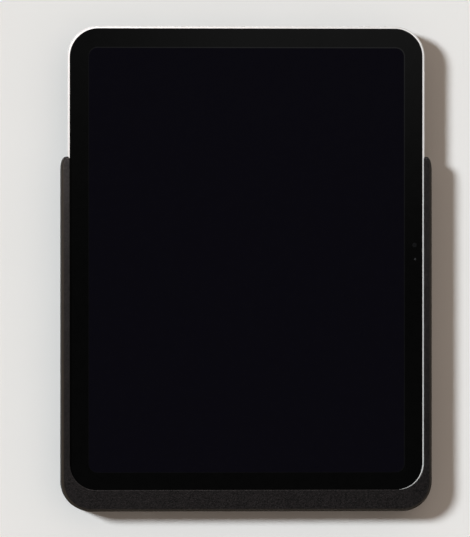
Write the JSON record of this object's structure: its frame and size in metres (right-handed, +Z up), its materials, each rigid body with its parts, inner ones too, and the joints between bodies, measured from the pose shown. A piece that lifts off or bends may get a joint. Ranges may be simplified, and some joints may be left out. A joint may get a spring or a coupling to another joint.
{
  "type": "tablet wall mount",
  "caption": "Slim black wall mount: a shallow tray with two side arms and a deep lower rim that holds an upright tablet by its edges and charges it.",
  "frame": {"origin": "centre of the four wall screw holes, on the wall plane", "axes": "+Z up, the front with the screen faces -Y, +Y into the wall, +X to the right seen from the front"},
  "size_m": [0.223, 0.014, 0.2915],
  "materials": {
    "textured_black": "fine textured powder coat",
    "plated_steel": "zinc plated",
    "steel": "satin",
    "black_plastic": "matte",
    "plug_metal": "satin",
    "circuit_board": "solder mask",
    "grey_silicone": "matte",
    "silver_aluminium": "fine bead blasted",
    "cover_glass": "gloss",
    "display": "switched off",
    "camera_black": "gloss",
    "flash_white": "gloss",
    "battery_wrap": "matte",
    "shield_metal": "satin",
    "speaker_black": "matte"
  },
  "bodies": {
    "mount": {"cradle": "textured_black", "connector_cover": "textured_black", "wall_plate": "plated_steel", "locking_screw_1": "steel", "locking_screw_2": "steel", "cover_screw_1": "steel", "cover_screw_2": "steel", "hanging_stud_1": "steel", "hanging_stud_2": "steel", "hanging_stud_3": "steel", "hanging_stud_4": "steel", "connector_housing": "black_plastic", "charging_plug": "plug_metal", "inlet_socket": "plug_metal", "connector_board": "circuit_board", "back_pad_1": "grey_silicone", "back_pad_2": "grey_silicone", "back_pad_3": "grey_silicone", "back_pad_4": "grey_silicone", "bottom_pad_left": "grey_silicone", "bottom_pad_right": "grey_silicone", "side_liner_left": "grey_silicone", "side_liner_right": "grey_silicone"},
    "tablet": {"tablet_housing": "silver_aluminium", "cover_glass": "cover_glass", "display_panel": "display", "front_camera": "camera_black", "light_sensor": "camera_black", "rear_camera_plate": "silver_aluminium", "rear_camera_lens": "cover_glass", "rear_flash": "flash_white", "battery_left": "battery_wrap", "battery_right": "battery_wrap", "logic_board": "circuit_board", "board_shield": "shield_metal", "charging_socket": "plug_metal", "speaker_1": "speaker_black", "speaker_2": "speaker_black", "speaker_3": "speaker_black", "speaker_4": "speaker_black"},
    "volume_up": {"volume_up_button": "silver_aluminium"},
    "volume_down": {"volume_down_button": "silver_aluminium"},
    "top_key": {"top_button": "silver_aluminium"}
  },
  "joints": [
    {"name": "tablet_lift", "type": "slide", "parent": "mount", "child": "tablet", "axis": [0, 0, 1], "range_m": [0, 0.205]},
    {"name": "volume_up_press", "type": "slide", "parent": "tablet", "child": "volume_up", "axis": [-1, 0, 0], "range_m": [0, 0.00025], "stiffness_N_per_m": 600},
    {"name": "volume_down_press", "type": "slide", "parent": "tablet", "child": "volume_down", "axis": [-1, 0, 0], "range_m": [0, 0.00025], "stiffness_N_per_m": 600},
    {"name": "top_button_press", "type": "slide", "parent": "tablet", "child": "top_key", "axis": [0, 0, -1], "range_m": [0, 0.00025], "stiffness_N_per_m": 600}
  ]
}
